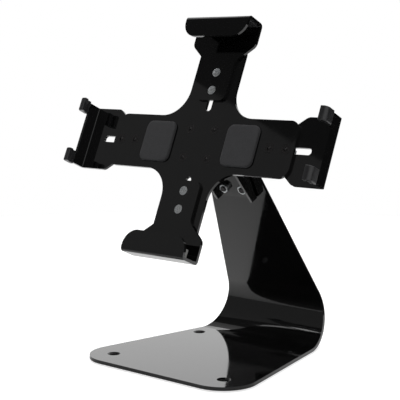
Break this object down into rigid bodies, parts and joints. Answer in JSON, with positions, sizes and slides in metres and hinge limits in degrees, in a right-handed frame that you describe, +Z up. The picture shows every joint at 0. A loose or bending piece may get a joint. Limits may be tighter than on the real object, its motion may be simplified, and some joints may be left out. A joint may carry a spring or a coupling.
{
  "type": "tablet security kiosk stand",
  "caption": "Desk stand with a bent sheet-steel foot, a tilt and swivel head, and folded hooks that clamp a tablet by its four edges.",
  "frame": {"origin": "on the desk, under the middle of the foot", "axes": "+X to the right as a user faces the screen, +Y to the back, +Z up"},
  "size_m": [0.263, 0.1758, 0.2894],
  "materials": {
    "black_steel": "gloss black powder coat",
    "black_casting": "satin black",
    "black_screws": "black oxide",
    "zinc_hardware": "bright zinc plate",
    "spring_steel": "plain",
    "nylon": "natural",
    "black_rubber": "fine grain",
    "grey_rubber": "closed-cell, fine grain",
    "foam": "closed-cell foam"
  },
  "bodies": {
    "stand": {"stand_plate": "black_steel", "base_mat": "black_rubber", "pivot_bracket": "black_steel", "bracket_screws": "black_screws", "bracket_nuts": "zinc_hardware", "pivot_bolt": "black_screws", "pivot_nut": "zinc_hardware", "pivot_washers": "zinc_hardware"},
    "tilt_head": {"tilt_knuckle": "black_casting", "knuckle_washers": "nylon", "swivel_washer": "nylon", "swivel_spring": "spring_steel", "swivel_nut": "spring_steel"},
    "holder": {"swivel_hub": "black_casting", "carrier_plate": "black_steel", "hub_screws": "black_screws", "carrier_pads": "foam", "side_clamp_screws": "black_screws", "side_clamp_washers": "zinc_hardware", "side_clamp_nuts": "zinc_hardware"},
    "top_arm": {"top_arm": "black_steel", "top_studs": "zinc_hardware", "top_washers": "zinc_hardware", "top_nuts": "zinc_hardware", "top_liner": "black_rubber"},
    "bottom_arm": {"bottom_arm": "black_steel", "bottom_studs": "zinc_hardware", "bottom_washers": "zinc_hardware", "bottom_nuts": "zinc_hardware", "bottom_cushion": "grey_rubber"},
    "left_bracket": {"left_bracket": "black_steel", "left_liners": "black_rubber"},
    "right_bracket": {"right_bracket": "black_steel", "right_liners": "black_rubber"}
  },
  "joints": [
    {"name": "head_tilt", "type": "hinge", "parent": "stand", "child": "tilt_head", "pos_m": [0, 0.0138, 0.17485], "axis": [-1, 0, 0], "range_deg": [-24, 45]},
    {"name": "holder_rotate", "type": "hinge", "parent": "tilt_head", "child": "holder", "pos_m": [0, 0.0138, 0.17485], "axis": [0, -0.9118, 0.4106], "range_deg": [-90, 90]},
    {"name": "top_slide", "type": "slide", "parent": "holder", "child": "top_arm", "axis": [0, 0.4106, 0.9118], "range_m": [-0.015, 0.0145]},
    {"name": "bottom_slide", "type": "slide", "parent": "holder", "child": "bottom_arm", "axis": [0, -0.4106, -0.9118], "range_m": [-0.01, 0.0195]},
    {"name": "left_slide", "type": "slide", "parent": "holder", "child": "left_bracket", "axis": [-1, 0, 0], "range_m": [-0.02, 0.01]},
    {"name": "right_slide", "type": "slide", "parent": "holder", "child": "right_bracket", "axis": [1, 0, 0], "range_m": [-0.02, 0.01]}
  ]
}
